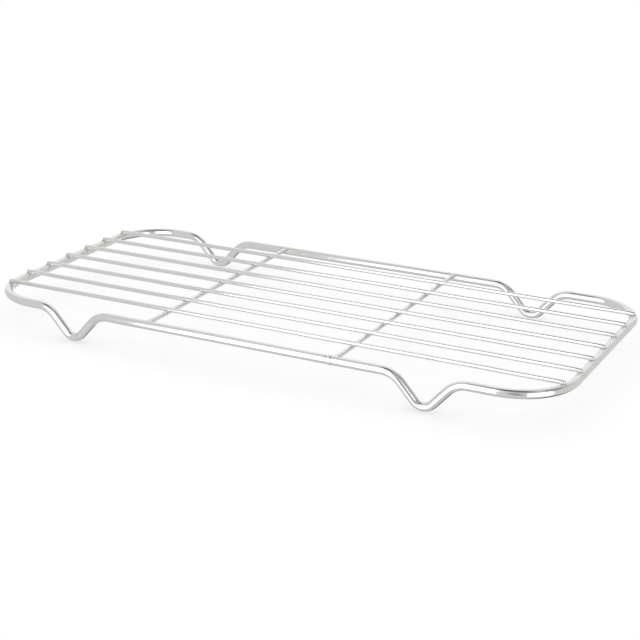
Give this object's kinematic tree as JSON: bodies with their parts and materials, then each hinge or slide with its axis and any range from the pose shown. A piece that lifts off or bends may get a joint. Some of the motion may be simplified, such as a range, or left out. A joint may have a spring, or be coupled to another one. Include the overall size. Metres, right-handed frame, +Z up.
{
  "type": "footed wire rack",
  "caption": "Rectangular wire rack for an air fryer or small oven: a thick round-wire frame on V-bent feet carries a welded grid of thin wires.",
  "frame": {"origin": "under the middle of the rack's outline, on the surface that the feet stand on", "axes": "+X along the long grid wires, to the right as the side with the frame's butt weld is looked at; +Y from that front side to the back; +Z up"},
  "size_m": [0.28, 0.1332, 0.0182],
  "materials": {
    "frame_wire": "polished",
    "thin_wire": "polished"
  },
  "bodies": {
    "root": {"frame_wire": "frame_wire", "grid_wire_1": "thin_wire", "grid_wire_2": "thin_wire", "grid_wire_3": "thin_wire", "grid_wire_4": "thin_wire", "grid_wire_5": "thin_wire", "grid_wire_6": "thin_wire", "grid_wire_7": "thin_wire", "cross_wire_left": "thin_wire", "cross_wire_right": "thin_wire"}
  },
  "joints": []
}
